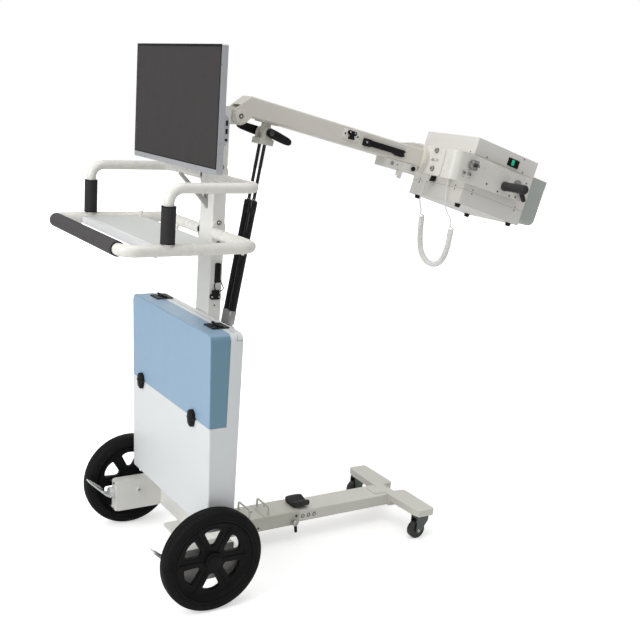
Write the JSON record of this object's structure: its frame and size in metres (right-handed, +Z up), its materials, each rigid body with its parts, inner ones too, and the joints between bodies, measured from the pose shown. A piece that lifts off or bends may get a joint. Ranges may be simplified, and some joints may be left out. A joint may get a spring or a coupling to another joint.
{
  "type": "mobile x-ray machine",
  "caption": "Wheeled x-ray stand with a telescopic leg, lidded case, tray, monitor and a sprung arm whose yoke rolls and tilts the head and collimator.",
  "frame": {"origin": "centre of the bounding box on the floor", "axes": "+X from the operator's handle towards the head, +Y to the machine's left, +Z up"},
  "size_m": [1.6419, 0.676, 1.545],
  "materials": {
    "white_paint": "smooth",
    "blue_paint": "smooth",
    "warm_grey": "smooth",
    "tyre": "matt",
    "black_plastic": "matt",
    "foam": "matt",
    "steel": "brushed",
    "silver": "satin",
    "head_grey": "smooth",
    "rim_plastic": "smooth",
    "black_paint": "gloss",
    "switch_grey": "smooth",
    "screen": "glossy",
    "collimator_grey": "smooth",
    "brown_block": "matt",
    "rubber": "matt",
    "cord_white": "smooth"
  },
  "bodies": {
    "base": {"base_beam": "white_paint", "side_boxes": "white_paint", "end_plates": "white_paint", "pedals": "steel", "axle_stubs": "steel", "case_body": "white_paint", "hinge_fixed": "black_plastic", "column": "white_paint", "column_head": "white_paint", "column_latch": "black_plastic", "tray_frame": "white_paint", "foam_grips": "foam", "tray_plate": "white_paint", "upper_rail": "white_paint", "tube_flanges": "white_paint", "monitor_bracket": "warm_grey", "leg_sleeve": "warm_grey", "wire_loops": "steel", "rest_pad": "rubber", "leg_clamp": "black_plastic", "spring_bracket": "steel"},
    "wheel_left": {"wheel_left": "rim_plastic", "tyre_left": "tyre"},
    "wheel_right": {"wheel_right": "rim_plastic", "tyre_right": "tyre"},
    "lid": {"lid": "blue_paint", "hinge_lid": "black_plastic", "lid_latches": "black_plastic"},
    "monitor": {"monitor_back": "silver", "monitor_frame": "silver", "monitor_screen": "screen"},
    "leg": {"leg_tube": "warm_grey", "foot": "warm_grey"},
    "caster_left": {"caster_fork_left": "steel"},
    "caster_right": {"caster_fork_right": "steel"},
    "caster_wheel_left": {"caster_wheel_left": "black_plastic"},
    "caster_wheel_right": {"caster_wheel_right": "black_plastic"},
    "spring_cylinders": {"spring_cylinders": "black_paint"},
    "spring_rods": {"spring_rods": "steel", "rod_levers": "black_plastic"},
    "arm": {"arm_tube": "warm_grey", "roll_lock": "warm_grey", "arm_latch": "black_plastic"},
    "yoke": {"yoke": "white_paint", "yoke_fittings": "steel", "yoke_grips": "black_plastic"},
    "head": {"head_lower": "head_grey", "head_middle": "head_grey", "head_upper": "head_grey", "head_screen": "screen", "head_trim": "black_plastic", "collimator": "collimator_grey", "collimator_controls": "collimator_grey", "friction_blocks": "brown_block", "hand_switch": "switch_grey", "cord_socket_end": "cord_white", "cord_coil": "cord_white", "cord_switch_end": "cord_white"}
  },
  "joints": [
    {"name": "wheel_left_spin", "type": "hinge", "parent": "base", "child": "wheel_left", "pos_m": [-0.52499, 0.311, 0.1525], "axis": [0, 1, 0], "continuous": true},
    {"name": "wheel_right_spin", "type": "hinge", "parent": "base", "child": "wheel_right", "pos_m": [-0.52499, -0.311, 0.1525], "axis": [0, 1, 0], "continuous": true},
    {"name": "lid_hinge", "type": "hinge", "parent": "base", "child": "lid", "pos_m": [-0.47899, 0, 0.797], "axis": [0, 1, 0], "range_deg": [0, 100]},
    {"name": "monitor_tilt", "type": "hinge", "parent": "base", "child": "monitor", "pos_m": [-0.47999, 0, 1.33], "axis": [0, 1, 0], "range_deg": [-8, 8]},
    {"name": "leg_slide", "type": "slide", "parent": "base", "child": "leg", "axis": [1, 0, 0], "range_m": [-0.11, 0]},
    {"name": "caster_left_swivel", "type": "hinge", "parent": "leg", "child": "caster_left", "pos_m": [0.33701, 0.183, 0.08], "axis": [0, 0, 1], "continuous": true},
    {"name": "caster_right_swivel", "type": "hinge", "parent": "leg", "child": "caster_right", "pos_m": [0.33701, -0.183, 0.08], "axis": [0, 0, 1], "continuous": true},
    {"name": "caster_left_spin", "type": "hinge", "parent": "caster_left", "child": "caster_wheel_left", "pos_m": [0.31301, 0.183, 0.03], "axis": [0, 1, 0], "continuous": true},
    {"name": "caster_right_spin", "type": "hinge", "parent": "caster_right", "child": "caster_wheel_right", "pos_m": [0.31301, -0.183, 0.03], "axis": [0, 1, 0], "continuous": true},
    {"name": "arm_lift", "type": "hinge", "parent": "base", "child": "arm", "pos_m": [-0.35899, 0, 1.361], "axis": [0, 1, 0], "range_deg": [-25, 25]},
    {"name": "spring_swing", "type": "hinge", "parent": "base", "child": "spring_cylinders", "pos_m": [-0.35199, 0, 0.735], "axis": [0, 1, 0], "range_deg": [-1.5, 1.5]},
    {"name": "rod_slide", "type": "slide", "parent": "spring_cylinders", "child": "spring_rods", "axis": [0.1545, 0, 0.988], "range_m": [-0.05, 0.05]},
    {"name": "yoke_roll", "type": "hinge", "parent": "arm", "child": "yoke", "pos_m": [0.31734, 0, 1.25302], "axis": [0.9781, 0, -0.2079], "range_deg": [-90, 90], "deforming": ["cord_socket_end", "cord_coil", "cord_switch_end"]},
    {"name": "head_tilt", "type": "hinge", "parent": "yoke", "child": "head", "pos_m": [0.60094, 0, 1.18763], "axis": [0, 1, 0], "range_deg": [-75, 75], "deforming": ["cord_socket_end", "cord_coil", "cord_switch_end"]}
  ],
  "couplings": [
    {"joint": "spring_swing", "follows": "arm_lift", "ratio": -0.046},
    {"joint": "rod_slide", "follows": "arm_lift", "m_per_rad": -0.1075}
  ]
}
